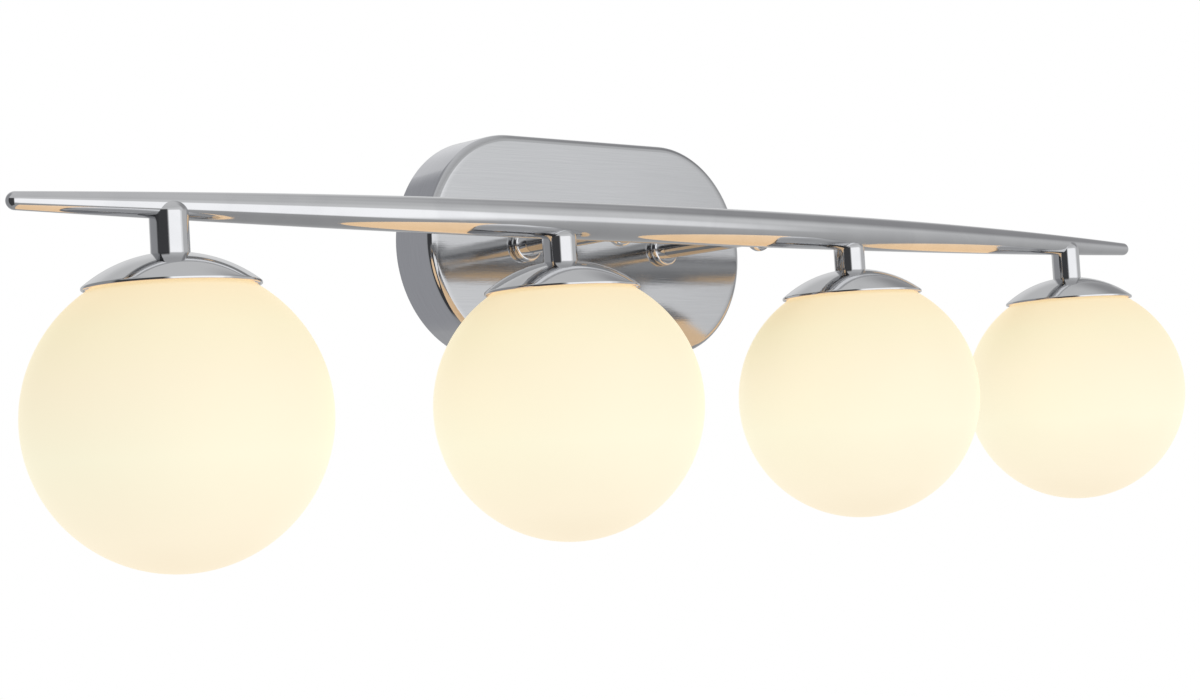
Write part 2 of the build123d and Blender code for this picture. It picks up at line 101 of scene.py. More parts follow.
# Lines left by rolling, drawing or brushing: noise drawn out by unequal scales along the axes.
grain_group, grain_in, grain_out = shader_group(
    "drawn_grain",
    {"Scale": ("NodeSocketVector", (40, 40, 40)), "Contrast": ("NodeSocketFloat", 1.0)},
    {"Grain": "NodeSocketFloat"},
)
grain_place = add_node(grain_group, "TexCoord")
grain_stretch = add_node(
    grain_group, "VectorMath", {0: grain_place.outputs["Object"], 1: grain_in.outputs["Scale"]},
    operation="MULTIPLY",
)
grain_noise = add_node(
    grain_group, "TexNoise",
    {"Vector": grain_stretch.outputs[0], "Scale": 1.0, "Detail": 6.0, "Roughness": 0.68},
)
grain_centre = add_node(
    grain_group, "Math", {0: grain_noise.outputs["Fac"], 1: 0.5}, operation="SUBTRACT"
)
grain_gain = add_node(
    grain_group, "Math", {0: grain_centre.outputs[0], 1: grain_in.outputs["Contrast"]},
    operation="MULTIPLY",
)
grain_back = add_node(grain_group, "Math", {0: grain_gain.outputs[0], 1: 0.5}, operation="ADD")
wire(grain_group, grain_back.outputs[0], grain_out.inputs["Grain"])

# What handling leaves on a hard surface: soft cloudy smudges and a few fine crossing hairlines.
wear_group, wear_in, wear_out = shader_group(
    "handling_wear",
    {"Smudge Size": ("NodeSocketFloat", 45.0), "Scratch Size": ("NodeSocketFloat", 260.0)},
    {"Smudge": "NodeSocketFloat", "Scratch": "NodeSocketFloat"},
)
wear_place = add_node(wear_group, "TexCoord")
smudge_noise = add_node(
    wear_group, "TexNoise",
    {"Vector": wear_place.outputs["Object"], "Scale": wear_in.outputs["Smudge Size"],
     "Detail": 4.0, "Roughness": 0.6, "Distortion": 0.6},
)
smudge_ramp = add_node(
    wear_group, "MapRange",
    {"Value": smudge_noise.outputs["Fac"], "From Min": 0.38, "From Max": 0.68},
    interpolation_type="SMOOTHSTEP",
)
wire(wear_group, smudge_ramp.outputs["Result"], wear_out.inputs["Smudge"])
hairlines = []
for turn in ((0.5, 0.3, 1.1), (-0.7, 1.2, -0.4)):
    turned_place = add_node(
        wear_group, "Mapping",
        {"Vector": wear_place.outputs["Object"], "Rotation": turn, "Scale": (1.0, 0.05, 0.35)},
    )
    line = add_node(
        wear_group, "TexNoise",
        {"Vector": turned_place.outputs[0], "Scale": wear_in.outputs["Scratch Size"],
         "Detail": 1.0, "Roughness": 0.4},
    )
    hairlines.append(
        add_node(
            wear_group, "MapRange",
            {"Value": line.outputs["Fac"], "From Min": 0.66, "From Max": 0.74},
        ).outputs["Result"]
    )
both_lines = add_node(wear_group, "Math", {0: hairlines[0], 1: hairlines[1]}, operation="MAXIMUM")
wire(wear_group, both_lines.outputs[0], wear_out.inputs["Scratch"])


def zinc_plate(name, rolled):
    """Bright zinc plate; rolled is the noise scale along each axis, small along the rolling."""
    material, tree, shader = new_material(name)
    place = add_node(tree, "TexCoord")
    bloom = add_node(
        tree, "TexVoronoi",
        {"Vector": place.outputs["Object"], "Scale": 420.0, "Randomness": 1.0},
        feature="F1",
    )
    tone = add_node(tree, "SeparateColor", {"Color": bloom.outputs["Color"]})
    grain = place_group(tree, grain_group, Scale=rolled, Contrast=1.4)
    wear = place_group(tree, wear_group)
    wear.inputs["Smudge Size"].default_value = 60.0
    blend = add_node(tree, "Math", {0: tone.outputs[0], 1: grain.outputs[0]}, operation="MULTIPLY")
    colour = add_node(tree, "Mix", data_type="RGBA")
    wire(tree, blend.outputs[0], colour.inputs["Factor"])
    colour.inputs["A"].default_value = (0.50, 0.53, 0.57, 1)
    colour.inputs["B"].default_value = (0.80, 0.82, 0.84, 1)
    dulled = add_node(tree, "Mix", {"Factor": wear.outputs["Smudge"]}, data_type="RGBA")
    wire(tree, colour.outputs["Result"], dulled.inputs["A"])
    dulled.inputs["B"].default_value = (0.46, 0.47, 0.49, 1)
    wire(tree, dulled.outputs["Result"], shader.inputs["Base Color"])
    dulling = add_node(
        tree, "MapRange", {"Value": grain.outputs[0], "To Min": 0.24, "To Max": 0.46}
    )
    wire(tree, dulling.outputs["Result"], shader.inputs["Roughness"])
    bump = add_node(
        tree, "Bump", {"Height": grain.outputs[0], "Strength": 0.35, "Distance": 0.00006}
    )
    wire(tree, bump.outputs[0], shader.inputs["Normal"])
    shader.inputs["Metallic"].default_value = 1.0
    return material


zinc_strip = zinc_plate("zinc_plated_strip", (60, 900, 1600))
zinc_turned = zinc_plate("zinc_plated_turned", (900, 240, 900))
finish_with(zinc_strip, "wall_bracket")
finish_with(zinc_turned, "arm_washers", "arm_nuts")

# ---------------------------------------------------------------------------------------------
# Cable bush, terminal block. Moulded white plastic with a slight mould texture and a tone that drifts
# at random, glossier where tools and fingers have rubbed it.
moulded, moulded_tree, moulded_shader = new_material("moulded_white_plastic")
moulded_place = add_node(moulded_tree, "TexCoord")
moulded_flow = add_node(
    moulded_tree, "TexNoise",
    {"Vector": moulded_place.outputs["Object"], "Scale": 90.0, "Detail": 5.0, "Distortion": 1.1},
)
moulded_colour = add_node(moulded_tree, "Mix", {"Factor": moulded_flow.outputs["Fac"]}, data_type="RGBA")
moulded_colour.inputs["A"].default_value = (0.74, 0.73, 0.69, 1)
moulded_colour.inputs["B"].default_value = (0.88, 0.88, 0.85, 1)
wire(moulded_tree, moulded_colour.outputs["Result"], moulded_shader.inputs["Base Color"])
moulded_pebble = add_node(
    moulded_tree, "TexNoise",
    {"Vector": moulded_place.outputs["Object"], "Scale": 2200.0, "Detail": 2.0},
)
moulded_bump = add_node(
    moulded_tree, "Bump", {"Height": moulded_pebble.outputs["Fac"], "Strength": 0.3, "Distance": 0.00005}
)
wire(moulded_tree, moulded_bump.outputs[0], moulded_shader.inputs["Normal"])
moulded_wear = place_group(moulded_tree, wear_group)
moulded_gloss = add_node(
    moulded_tree, "MapRange", {"Value": moulded_wear.outputs["Smudge"], "To Min": 0.48, "To Max": 0.3}
)
wire(moulded_tree, moulded_gloss.outputs["Result"], moulded_shader.inputs["Roughness"])
finish_with(moulded, "cable_bush", "terminal_block")

# ---------------------------------------------------------------------------------------------
# Earth screw, terminal sleeves and their screws. Turned brass, bright on the last cut and browning
# slowly where air reaches it.
brass, brass_tree, brass_shader = new_material("turned_brass")
brass_wear = place_group(brass_tree, wear_group)
brass_wear.inputs["Smudge Size"].default_value = 150.0
brass_cut = place_group(brass_tree, grain_group, Scale=(1500, 300, 1500), Contrast=1.2)
brass_colour = add_node(brass_tree, "Mix", {"Factor": brass_wear.outputs["Smudge"]}, data_type="RGBA")
brass_colour.inputs["A"].default_value = (0.86, 0.66, 0.30, 1)
brass_colour.inputs["B"].default_value = (0.58, 0.40, 0.17, 1)
wire(brass_tree, brass_colour.outputs["Result"], brass_shader.inputs["Base Color"])
brass_dulling = add_node(
    brass_tree, "MapRange", {"Value": brass_wear.outputs["Smudge"], "To Min": 0.2, "To Max": 0.42}
)
wire(brass_tree, brass_dulling.outputs["Result"], brass_shader.inputs["Roughness"])
brass_bump = add_node(
    brass_tree, "Bump", {"Height": brass_cut.outputs[0], "Strength": 0.4, "Distance": 0.00004}
)
wire(brass_tree, brass_bump.outputs[0], brass_shader.inputs["Normal"])
brass_shader.inputs["Metallic"].default_value = 1.0
finish_with(brass, "earth_screw", "terminal_sleeves", "terminal_screws")

# ---------------------------------------------------------------------------------------------
# Backplate. Pressed from one sheet of steel, with full round ends and a rolled front edge; chrome
# plated, the face brushed lengthways and the side wall brushed round the rim.
plate_low, plate_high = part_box("backplate")
plate_half_length = plate_high.x
plate_half_height = plate_high.z
plate_depth = plate_high.y - plate_low.y
plate_sheet = 0.001
plate_edge = 0.003
face_margin = 0.0015
drill_clear = 0.0001
plate_screw_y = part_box("cover_screws")[0].lerp(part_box("cover_screws")[1], 0.5).y
plate_screw_clear = 0.0022
round_steps = 56


def plate_outline(inset):
    """Stadium outline at an inset from the plate's edge, counter-clockwise seen from the front."""
    radius = plate_half_height - inset
    straight = plate_half_length - plate_half_height
    points = []
    for side, first in ((1, -pi / 2), (-1, pi / 2)):
        for step in range(round_steps + 1):
            angle = first + pi * step / round_steps
            points.append((side * straight + radius * cos(angle), radius * sin(angle)))
    return points


def arc(centre, radius, start, end, steps):
    """Points of an arc about a centre, with its angles in radians."""
    angles = [start + (end - start) * step / steps for step in range(steps + 1)]
    return [(centre[0] + radius * cos(angle), centre[1] + radius * sin(angle)) for angle in angles]


def mesh_piece(name, bm, material, sharp=radians(35)):
    """Make an object of a finished bmesh, with smooth faces that meet sharply past an angle."""
    bmesh.ops.recalc_face_normals(bm, faces=bm.faces)
    mesh = bpy.data.meshes.new(name)
    bm.to_mesh(mesh)
    bm.free()
    mesh.shade_smooth()
    mesh.set_sharp_from_angle(angle=sharp)
    piece = bpy.data.objects.new(name, mesh)
    bpy.context.scene.collection.objects.link(piece)
    mesh.materials.append(material)
    return piece


def cut_away(piece, cutters):
    """Drill a piece with closed cutters, which are then thrown away."""
    for cutter in cutters:
        drill = piece.modifiers.new("drill", "BOOLEAN")
        drill.operation = "DIFFERENCE"
        drill.solver = "EXACT"
        drill.object = cutter
    bpy.context.view_layer.update()
    drilled = bpy.data.meshes.new_from_object(
        piece.evaluated_get(bpy.context.evaluated_depsgraph_get())
    )
    piece.modifiers.clear()
    piece.data = drilled
    for cutter in cutters:
        bpy.data.objects.remove(cutter)


def round_cutter(centre, radius, length, axis):
    """A plain round drill through a point, along Y or Z."""
    bm = bmesh.new()
    turn = Matrix.Rotation(pi / 2, 4, "X") if axis == "Y" else Matrix.Identity(4)
    bmesh.ops.create_cone(
        bm, cap_ends=True, segments=48, radius1=radius, radius2=radius, depth=length,
        matrix=Matrix.Translation(centre) @ turn,
    )
    mesh = bpy.data.meshes.new("drill")
    bm.to_mesh(mesh)
    bm.free()
    cutter = bpy.data.objects.new("drill", mesh)
    bpy.context.scene.collection.objects.link(cutter)
    return cutter


plate_front = -plate_depth
plate_profile = [(0.0, 0.0)]
plate_profile += [
    (inset, depth)
    for inset, depth in arc((plate_edge, plate_front + plate_edge), plate_edge, pi, 1.5 * pi, 12)
]
plate_profile += [(plate_edge + face_margin, plate_front)]
inner_edge = plate_edge - plate_sheet
inner_corner = (plate_edge, plate_front + plate_edge)
plate_inside = [(plate_sheet, 0.0)] + arc(inner_corner, inner_edge, pi, 1.5 * pi, 8)

plate_bm = bmesh.new()


def plate_rings(profile):
    """Closed rings of the plate's outline, one for each (inset, depth) of a profile."""
    return [
        [plate_bm.verts.new((x, depth, z)) for x, z in plate_outline(inset)]
        for inset, depth in profile
    ]


def bridge(bm, first, second):
    """Quads between two closed rings of equal count."""
    count = len(first)
    for index in range(count):
        after = (index + 1) % count
        bm.faces.new((first[index], first[after], second[after], second[index]))


outer_rings = plate_rings(plate_profile)
inner_rings = plate_rings(plate_inside)
for skin in (outer_rings, inner_rings):
    for ring, following in zip(skin, skin[1:]):
        bridge(plate_bm, ring, following)
    plate_bm.faces.new(skin[-1])
bridge(plate_bm, outer_rings[0], inner_rings[0])

satin, satin_tree, satin_shader = new_material("brushed_chrome_plate")
satin_face_grain = place_group(satin_tree, grain_group, Scale=(34, 400, 3400), Contrast=1.7)
satin_rim_grain = place_group(satin_tree, grain_group, Scale=(70, 2600, 70), Contrast=1.6)
satin_geometry = add_node(satin_tree, "NewGeometry")
satin_object_normal = add_node(
    satin_tree, "VectorTransform", {"Vector": satin_geometry.outputs["True Normal"]},
    vector_type="NORMAL", convert_from="WORLD", convert_to="OBJECT",
)
satin_facing = add_node(satin_tree, "SeparateXYZ", {0: satin_object_normal.outputs[0]})
satin_on_face = add_node(satin_tree, "Math", {0: satin_facing.outputs["Y"]}, operation="ABSOLUTE")
satin_grain = add_node(satin_tree, "Mix", {"Factor": satin_on_face.outputs[0]}, data_type="FLOAT")
wire(satin_tree, satin_rim_grain.outputs[0], satin_grain.inputs[2])
wire(satin_tree, satin_face_grain.outputs[0], satin_grain.inputs[3])
satin_wear = place_group(satin_tree, wear_group)
satin_wear.inputs["Smudge Size"].default_value = 24.0
# Painted light and shade: one chrome sheet given two tones by which way it faces, the face darker and
# the rim wall lighter; the brushing grain runs through both.
satin_face_shaded = add_node(satin_tree, "Mix", {"Factor": satin_grain.outputs["Result"]}, data_type="RGBA")
satin_face_shaded.inputs["A"].default_value = (0.455, 0.46, 0.467, 1)
satin_face_shaded.inputs["B"].default_value = (0.53, 0.535, 0.543, 1)
satin_rim_lit = add_node(satin_tree, "Mix", {"Factor": satin_grain.outputs["Result"]}, data_type="RGBA")
satin_rim_lit.inputs["A"].default_value = (0.64, 0.645, 0.67, 1)
satin_rim_lit.inputs["B"].default_value = (0.74, 0.745, 0.77, 1)
satin_painted_face_and_rim = add_node(satin_tree, "Mix", {"Factor": satin_on_face.outputs[0]}, data_type="RGBA")
wire(satin_tree, satin_rim_lit.outputs["Result"], satin_painted_face_and_rim.inputs["A"])
wire(satin_tree, satin_face_shaded.outputs["Result"], satin_painted_face_and_rim.inputs["B"])
wire(satin_tree, satin_painted_face_and_rim.outputs["Result"], satin_shader.inputs["Base Color"])
satin_dulling = add_node(
    satin_tree, "MapRange", {"Value": satin_grain.outputs["Result"], "To Min": 0.05, "To Max": 0.10}
)
satin_smudged = add_node(
    satin_tree, "Math",
    {0: satin_wear.outputs["Smudge"], 1: 0.04, 2: satin_dulling.outputs["Result"]},
    operation="MULTIPLY_ADD",
)
wire(satin_tree, satin_smudged.outputs[0], satin_shader.inputs["Roughness"])
satin_bump = add_node(
    satin_tree, "Bump",
    {"Height": satin_grain.outputs["Result"], "Strength": 0.22, "Distance": 0.00002},
)
wire(satin_tree, satin_bump.outputs[0], satin_shader.inputs["Normal"])
satin_shader.inputs["Metallic"].default_value = 1.0

plate = mesh_piece("backplate_pressing", plate_bm, satin)
arm_names = ("left", "right")
arm_x = {
    side: (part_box(f"arm_{side}")[0].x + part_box(f"arm_{side}")[1].x) / 2 for side in arm_names
}
arm_radius = (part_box("arm_left")[1].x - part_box("arm_left")[0].x) / 2
drills = [
    round_cutter((arm_x[side], plate_front, 0), arm_radius + drill_clear, 6 * plate_sheet, "Y")
    for side in arm_names
]
drills += [
    round_cutter((0, plate_screw_y, side * plate_half_height), plate_screw_clear, 6 * plate_sheet, "Z")
    for side in (-1, 1)
]
cut_away(plate, drills)
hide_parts("backplate")
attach(plate, "fixture")

# Grub screws in the plate's top and bottom edges: turned steel with the same bright zinc plate.
finish_with(zinc_turned, "cover_screws")

# ---------------------------------------------------------------------------------------------
# Arms and their rings. Drawn steel tube and turned rings, polished and chrome plated. The plate
# shows faint polishing marks, slow waves from the buffing wheel and a few cloudy prints.


def turned(bm, outline, origin, axis, steps):
    """Turn an outline of (distance from the axis, place along it) round an axis through origin.

    An outline that starts and ends on the axis closes in two points; any other closes on itself.
    """
    origin = Vector(origin)
    rings = []
    for distance, along in outline:
        ring = []
        for step in range(steps if distance > 1e-7 else 1):
            angle = 2 * pi * step / steps
            if axis == "Y":
                offset = Vector((distance * cos(angle), along, distance * sin(angle)))
            else:
                offset = Vector((distance * cos(angle), distance * sin(angle), along))
            ring.append(bm.verts.new(origin + offset))
        rings.append(ring)
    pairs = list(zip(rings, rings[1:]))
    if len(rings[0]) > 1:
        pairs.append((rings[-1], rings[0]))
    for first, second in pairs:
        if len(first) == len(second):
            bridge(bm, first, second)
            continue
        tip, ring = (first[0], second) if len(first) == 1 else (second[0], first)
        for step in range(steps):
            bm.faces.new((tip, ring[step], ring[(step + 1) % steps]))


chrome, chrome_tree, chrome_shader = new_material("polished_chrome")
chrome_wear = place_group(chrome_tree, wear_group)
chrome_wear.inputs["Smudge Size"].default_value = 38.0
chrome_place = add_node(chrome_tree, "TexCoord")
chrome_tint = add_node(chrome_tree, "Mix", {"Factor": chrome_wear.outputs["Smudge"]}, data_type="RGBA")
chrome_tint.inputs["A"].default_value = (0.645, 0.649, 0.658, 1)
chrome_tint.inputs["B"].default_value = (0.612, 0.616, 0.626, 1)
wire(chrome_tree, chrome_tint.outputs["Result"], chrome_shader.inputs["Base Color"])
chrome_dulling = add_node(
    chrome_tree, "MapRange", {"Value": chrome_wear.outputs["Smudge"], "To Min": 0.045, "To Max": 0.085}
)
chrome_marked = add_node(
    chrome_tree, "Math",
    {0: chrome_wear.outputs["Scratch"], 1: 0.05, 2: chrome_dulling.outputs["Result"]},
    operation="MULTIPLY_ADD",
)
wire(chrome_tree, chrome_marked.outputs[0], chrome_shader.inputs["Roughness"])
buffing_waves = add_node(
    chrome_tree, "TexNoise",
    {"Vector": chrome_place.outputs["Object"], "Scale": 130.0, "Detail": 2.0, "Roughness": 0.4},
)
chrome_bump = add_node(
    chrome_tree, "Bump",
    {"Height": buffing_waves.outputs["Fac"], "Strength": 0.12, "Distance": 0.00005},
)
wire(chrome_tree, chrome_bump.outputs[0], chrome_shader.inputs["Normal"])
chrome_shader.inputs["Metallic"].default_value = 1.0

arm_bore = 0.0029
arm_chamfer = 0.0004
ring_edge = 0.0011
for side in arm_names:
    arm_low, arm_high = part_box(f"arm_{side}")
    arm_bm = bmesh.new()
    turned(
        arm_bm,
        [
            (arm_bore, arm_high.y),
            (arm_radius - arm_chamfer, arm_high.y),
            (arm_radius, arm_high.y - arm_chamfer),
            (arm_radius, arm_low.y),
            (arm_bore, arm_low.y),
        ],
        (arm_x[side], 0, 0), "Y", 72,
    )
    arm = mesh_piece(f"arm_tube_{side}", arm_bm, chrome)
    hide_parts(f"arm_{side}")
    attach(arm, "fixture")
    for place in ("inner", "outer"):
        ring_low, ring_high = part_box(f"arm_ring_{place}_{side}")
        ring_radius = (ring_high.x - ring_low.x) / 2
        edge_centre = ring_radius - ring_edge
        back, front = ring_high.y, ring_low.y
        ring_outline = [(arm_radius, back)]
        ring_outline += arc((edge_centre, back - ring_edge), ring_edge, pi / 2, 0, 8)
        ring_outline += arc((edge_centre, front + ring_edge), ring_edge, 0, -pi / 2, 8)
        ring_outline += [(arm_radius, front)]
        ring_bm = bmesh.new()
        turned(ring_bm, ring_outline, (arm_x[side], 0, 0), "Y", 96)
        ring = mesh_piece(f"turned_ring_{place}_{side}", ring_bm, chrome, radians(50))
        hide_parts(f"arm_ring_{place}_{side}")
        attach(ring, "fixture")

# ---------------------------------------------------------------------------------------------
# Bar. One drawn steel tube, thickest in the middle and tapering to its tips, bowed gently towards
# the wall at both ends, polished and chrome plated. A domed plug is pressed into each tip.
bar_low, bar_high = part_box("bar_tube")
end_low, end_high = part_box("bar_end_right")
bar_bow_radius = 3.9
bar_taper_power = 2.15
bar_wall = 0.001
bar_mid_radius = (bar_high.z - bar_low.z) / 2
bar_tip_radius = (end_high.z - end_low.z) / 2
bar_half = end_high.x - bar_tip_radius
bar_middle_y = bar_low.y + bar_mid_radius
bar_sections = 180
bar_round = 80


def bow_y(x):
    """Y of the bar's axis at a place along its length."""
    return bar_middle_y + bar_bow_radius - sqrt(bar_bow_radius**2 - x**2)


def bar_radius(x):
    """Outer radius of the bar: full in the middle, falling ever faster towards the tips."""
    return bar_mid_radius - (bar_mid_radius - bar_tip_radius) * (abs(x) / bar_half) ** bar_taper_power


def bar_point(x, along, distance, angle):
    """A point by the bar's axis: angle 0 faces the room and a quarter turn faces up."""
    lean = asin(x / bar_bow_radius)
    forward = Vector((sin(lean), -cos(lean), 0))
    outward = Vector((cos(lean), sin(lean), 0))
    axis_point = Vector((x, bow_y(x), 0)) + outward * along
    return axis_point + distance * (cos(angle) * forward + sin(angle) * Vector((0, 0, 1)))


def bar_ring(bm, x, along, distance):
    """A closed ring of points round the bar's axis."""
    return [
        bm.verts.new(bar_point(x, along, distance, 2 * pi * step / bar_round))
        for step in range(bar_round)
    ]


bar_bm = bmesh.new()
bar_stations = [bar_half * (2 * index / bar_sections - 1) for index in range(bar_sections + 1)]
outside = [bar_ring(bar_bm, x, 0, bar_radius(x)) for x in bar_stations]
inside = [bar_ring(bar_bm, x, 0, bar_radius(x) - bar_wall) for x in bar_stations[::6]]
for skin in (outside, inside):
    for ring, following in zip(skin, skin[1:]):
        bridge(bar_bm, ring, following)
bridge(bar_bm, outside[0], inside[0])
bridge(bar_bm, outside[-1], inside[-1])
bar = mesh_piece("bar_drawn_tube", bar_bm, chrome)
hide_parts("bar_tube")
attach(bar, "fixture")

plug_length = 0.009
plug_radius = bar_tip_radius - bar_wall
for side, sign in (("left", -1), ("right", 1)):
    end_bm = bmesh.new()
    dome = arc((0, 0), bar_tip_radius, 0, pi / 2, 12)
    end_outline = [(-plug_length, 0.0), (-plug_length, plug_radius), (0.0, plug_radius)]
    end_outline += [(height, distance) for distance, height in dome]
    end_rings = []
    for along, distance in end_outline:
        if distance < 1e-7:
            end_rings.append([end_bm.verts.new(bar_point(sign * bar_half, sign * along, 0, 0))])
        else:
            end_rings.append(bar_ring(end_bm, sign * bar_half, sign * along, distance))
    for first, second in zip(end_rings, end_rings[1:]):
        if len(first) == len(second):
            bridge(end_bm, first, second)
            continue
        tip, ring = (first[0], second) if len(first) == 1 else (second[0], first)
        for step in range(bar_round):
            end_bm.faces.new((tip, ring[step], ring[(step + 1) % bar_round]))
    bar_end = mesh_piece(f"bar_domed_plug_{side}", end_bm, chrome)
    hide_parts(f"bar_end_{side}")
    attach(bar_end, "fixture")

# ---------------------------------------------------------------------------------------------
# Stems and caps. Each stem is a short turned tube with a domed top, brazed round the bar; its foot
# sits on a spun steel dome whose edge turns down in a narrow lip. Both are polished and chrome
# plated.
lamps = (1, 2, 3, 4)
stem_bore = 0.0036
stem_bite = 0.0001
stem_tops = {1: 0.0016, 2: -0.003, 3: -0.003, 4: 0.0016}
stem_crown = 0.0042
cap_hole = 0.00505
cap_sheet = 0.0008
cap_lip = 0.0009
lip_bend = 0.0005
lip_round = 0.00025
lamp_centre = {}
for number in lamps:
    cap_low, cap_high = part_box(f"cap_{number}")
    lamp_centre[number] = Vector(((cap_low.x + cap_high.x) / 2, (cap_low.y + cap_high.y) / 2, 0))

cap_low, cap_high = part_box("cap_1")
cap_radius = (cap_high.x - cap_low.x) / 2
cap_rim = cap_low.z
stem_low, stem_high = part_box("stem_1")
stem_radius = (stem_high.x - stem_low.x) / 2
# The dome's centre follows from two points on it: its edge at the hole and its foot at the lip.
hole_height = cap_high.z
dome_foot = cap_rim + cap_lip
dome_centre = (
    (hole_height**2 + cap_hole**2) - (dome_foot**2 + cap_radius**2)
) / (2 * (hole_height - dome_foot))
dome_radius = sqrt(cap_radius**2 + (dome_foot - dome_centre) ** 2)


def dome_height(radius, distance):
    """Height of a dome surface of a given radius at a distance from the lamp's axis."""
    return dome_centre + sqrt(radius**2 - distance**2)


def dome_arc(radius, first, last, steps):
    """Points on a dome surface from one distance from the axis to another."""
    start, end = acos(first / radius), acos(last / radius)
    return arc((0, dome_centre), radius, start, end, steps)


cap_inside = dome_radius - cap_sheet
lip_inside = cap_radius - cap_sheet
crown_centre = stem_radius - stem_crown
crown_end = acos((stem_bore - crown_centre) / stem_crown)
for number in lamps:
    crown_foot = stem_tops[number] - stem_crown
    stem_outline = [(stem_radius, dome_height(dome_radius, stem_radius) - stem_bite)]
    stem_outline += arc((crown_centre, crown_foot), stem_crown, 0, crown_end, 14)
    stem_outline += [(stem_bore, dome_height(dome_radius, stem_bore))]
    stem_bm = bmesh.new()
    turned(stem_bm, stem_outline, lamp_centre[number], "Z", 96)
    stem = mesh_piece(f"stem_tube_{number}", stem_bm, chrome)
    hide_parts(f"stem_{number}")
    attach(stem, "fixture")

    bend_start = acos((cap_radius - lip_bend) / (dome_radius - lip_bend))
    bend_place = (cap_radius - lip_bend, dome_height(dome_radius - lip_bend, cap_radius - lip_bend))
    cap_outline = dome_arc(dome_radius, cap_hole, dome_radius * cos(bend_start), 36)
    cap_outline += arc(bend_place, lip_bend, bend_start, 0, 6)[1:]
    cap_outline += arc((cap_radius - lip_round, cap_rim + lip_round), lip_round, 0, -pi / 2, 5)
    cap_outline += arc((lip_inside + lip_round, cap_rim + lip_round), lip_round, -pi / 2, -pi, 5)
    cap_outline += dome_arc(cap_inside, lip_inside, cap_hole, 30)
    cap_bm = bmesh.new()
    turned(cap_bm, cap_outline, lamp_centre[number], "Z", 160)
    cap = mesh_piece(f"cap_spun_dome_{number}", cap_bm, chrome, radians(60))
    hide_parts(f"cap_{number}")
    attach(cap, "fixture")

# ---------------------------------------------------------------------------------------------
# Nipples, spacers and nuts hold each lamp together under its cap; the nipple is a threaded brass
# tube, the rest zinc-plated steel.
finish_with(brass, "nipples")
finish_with(zinc_turned, "spacers", "nipple_nuts")
finish_with(zinc_strip, "socket_straps")
finish_with(zinc_turned, "socket_screws")

# ---------------------------------------------------------------------------------------------
# Gaskets. Die-cast silicone rings, milky and soft, with lint and dust on their matt skin.
silicone, silicone_tree, silicone_shader = new_material("milky_silicone")
silicone_place = add_node(silicone_tree, "TexCoord")
silicone_cloud = add_node(
    silicone_tree, "TexNoise",
    {"Vector": silicone_place.outputs["Object"], "Scale": 320.0, "Detail": 4.0},
)
silicone_colour = add_node(
    silicone_tree, "Mix", {"Factor": silicone_cloud.outputs["Fac"]}, data_type="RGBA"
)
silicone_colour.inputs["A"].default_value = (0.62, 0.63, 0.62, 1)
silicone_colour.inputs["B"].default_value = (0.82, 0.83, 0.82, 1)
wire(silicone_tree, silicone_colour.outputs["Result"], silicone_shader.inputs["Base Color"])
silicone_wear = place_group(silicone_tree, wear_group)
silicone_dulling = add_node(
    silicone_tree, "MapRange", {"Value": silicone_wear.outputs["Smudge"], "To Min": 0.5, "To Max": 0.72}
)
wire(silicone_tree, silicone_dulling.outputs["Result"], silicone_shader.inputs["Roughness"])
silicone_bump = add_node(
    silicone_tree, "Bump",
    {"Height": silicone_cloud.outputs["Fac"], "Strength": 0.4, "Distance": 0.00008},
)
wire(silicone_tree, silicone_bump.outputs[0], silicone_shader.inputs["Normal"])
silicone_shader.inputs["Subsurface Weight"].default_value = 0.15
silicone_shader.inputs["Subsurface Radius"].default_value = (0.002, 0.002, 0.002)
finish_with(silicone, *[f"gasket_{number}" for number in lamps])

# ---------------------------------------------------------------------------------------------
# Globe holders. Turned aluminium cups with a coarse rolled thread outside; the lathe leaves fine
# rings round them.
turned_alloy, alloy_tree, alloy_shader = new_material("turned_aluminium")
alloy_rings = place_group(alloy_tree, grain_group, Scale=(120, 120, 5200), Contrast=1.8)
alloy_wear = place_group(alloy_tree, wear_group)
alloy_wear.inputs["Smudge Size"].default_value = 90.0
alloy_colour = add_node(alloy_tree, "Mix", {"Factor": alloy_rings.outputs[0]}, data_type="RGBA")
alloy_colour.inputs["A"].default_value = (0.62, 0.63, 0.64, 1)
alloy_colour.inputs["B"].default_value = (0.86, 0.87, 0.88, 1)
wire(alloy_tree, alloy_colour.outputs["Result"], alloy_shader.inputs["Base Color"])
alloy_dulling = add_node(
    alloy_tree, "MapRange", {"Value": alloy_wear.outputs["Smudge"], "To Min": 0.22, "To Max": 0.4}
)
wire(alloy_tree, alloy_dulling.outputs["Result"], alloy_shader.inputs["Roughness"])
alloy_bump = add_node(
    alloy_tree, "Bump", {"Height": alloy_rings.outputs[0], "Strength": 0.45, "Distance": 0.00005}
)
wire(alloy_tree, alloy_bump.outputs[0], alloy_shader.inputs["Normal"])
alloy_shader.inputs["Metallic"].default_value = 1.0
finish_with(turned_alloy, *[f"globe_holder_{number}" for number in lamps])

# ---------------------------------------------------------------------------------------------
# Bulb sockets and their contacts. The body is pressed porcelain with a clear glaze that pools and
# speckles; the contacts are rolled spring bronze.
porcelain, porcelain_tree, porcelain_shader = new_material("glazed_porcelain")
porcelain_place = add_node(porcelain_tree, "TexCoord")
porcelain_pool = add_node(
    porcelain_tree, "TexNoise",
    {"Vector": porcelain_place.outputs["Object"], "Scale": 140.0, "Detail": 3.0},
)
porcelain_speck = add_node(
    porcelain_tree, "TexNoise",
    {"Vector": porcelain_place.outputs["Object"], "Scale": 1500.0, "Detail": 1.0},
)
porcelain_spots = add_node(
    porcelain_tree, "MapRange",
    {"Value": porcelain_speck.outputs["Fac"], "From Min": 0.70, "From Max": 0.76},
)
porcelain_body = add_node(
    porcelain_tree, "Mix", {"Factor": porcelain_pool.outputs["Fac"]}, data_type="RGBA"
)
